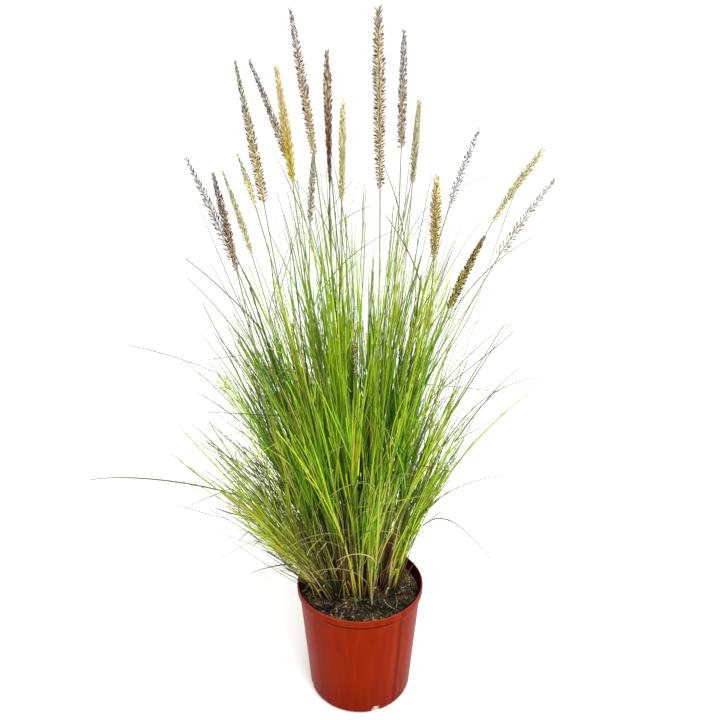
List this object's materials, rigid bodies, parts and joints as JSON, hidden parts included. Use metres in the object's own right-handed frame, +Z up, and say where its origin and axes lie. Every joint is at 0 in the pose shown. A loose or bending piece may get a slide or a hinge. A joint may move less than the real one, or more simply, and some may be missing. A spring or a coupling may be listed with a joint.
{
  "type": "potted fountain grass clump",
  "caption": "Clump of fountain grass with narrow arching leaves and upright bottle-brush flower spikes, growing in a round terracotta-coloured nursery pot filled with soil.",
  "frame": {"origin": "centre of the pot's flat underside", "axes": "+Z up, from the underside to the spikes' tips; the plant's front, as pictured, faces -Y, and +X is to the right of that view"},
  "size_m": [0.8903, 0.8301, 1.3221],
  "materials": {
    "terracotta_plastic": "satin",
    "potting_soil": "matte",
    "green_cane": "satin",
    "flower_spike": "matte",
    "grass_leaf": "satin"
  },
  "bodies": {
    "root": {"pot": "terracotta_plastic", "potting_soil": "potting_soil", "flower_stem_01": "green_cane", "flower_stem_02": "green_cane", "flower_stem_03": "green_cane", "flower_stem_04": "green_cane", "flower_stem_05": "green_cane", "flower_stem_06": "green_cane", "flower_stem_07": "green_cane", "flower_stem_08": "green_cane", "flower_stem_09": "green_cane", "flower_stem_10": "green_cane", "flower_stem_11": "green_cane", "flower_stem_12": "green_cane", "flower_stem_13": "green_cane", "flower_stem_14": "green_cane", "flower_stem_15": "green_cane", "flower_stem_16": "green_cane", "flower_stem_17": "green_cane", "flower_stem_18": "green_cane", "flower_stem_19": "green_cane", "flower_stem_20": "green_cane", "flower_spike_01": "flower_spike", "flower_spike_02": "flower_spike", "flower_spike_03": "flower_spike", "flower_spike_04": "flower_spike", "flower_spike_05": "flower_spike", "flower_spike_06": "flower_spike", "flower_spike_07": "flower_spike", "flower_spike_08": "flower_spike", "flower_spike_09": "flower_spike", "flower_spike_10": "flower_spike", "flower_spike_11": "flower_spike", "flower_spike_12": "flower_spike", "flower_spike_13": "flower_spike", "flower_spike_14": "flower_spike", "flower_spike_15": "flower_spike", "flower_spike_16": "flower_spike", "flower_spike_17": "flower_spike", "flower_spike_18": "flower_spike", "flower_spike_19": "flower_spike", "flower_spike_20": "flower_spike", "leaf_tuft_01": "grass_leaf", "leaf_tuft_02": "grass_leaf", "leaf_tuft_03": "grass_leaf", "leaf_tuft_04": "grass_leaf", "leaf_tuft_05": "grass_leaf", "leaf_tuft_06": "grass_leaf", "leaf_tuft_07": "grass_leaf", "leaf_tuft_08": "grass_leaf", "leaf_tuft_09": "grass_leaf", "leaf_tuft_10": "grass_leaf", "leaf_tuft_11": "grass_leaf", "leaf_tuft_12": "grass_leaf", "leaf_tuft_13": "grass_leaf", "leaf_tuft_14": "grass_leaf", "leaf_tuft_15": "grass_leaf", "leaf_tuft_16": "grass_leaf", "leaf_tuft_17": "grass_leaf", "leaf_tuft_18": "grass_leaf"}
  },
  "joints": []
}
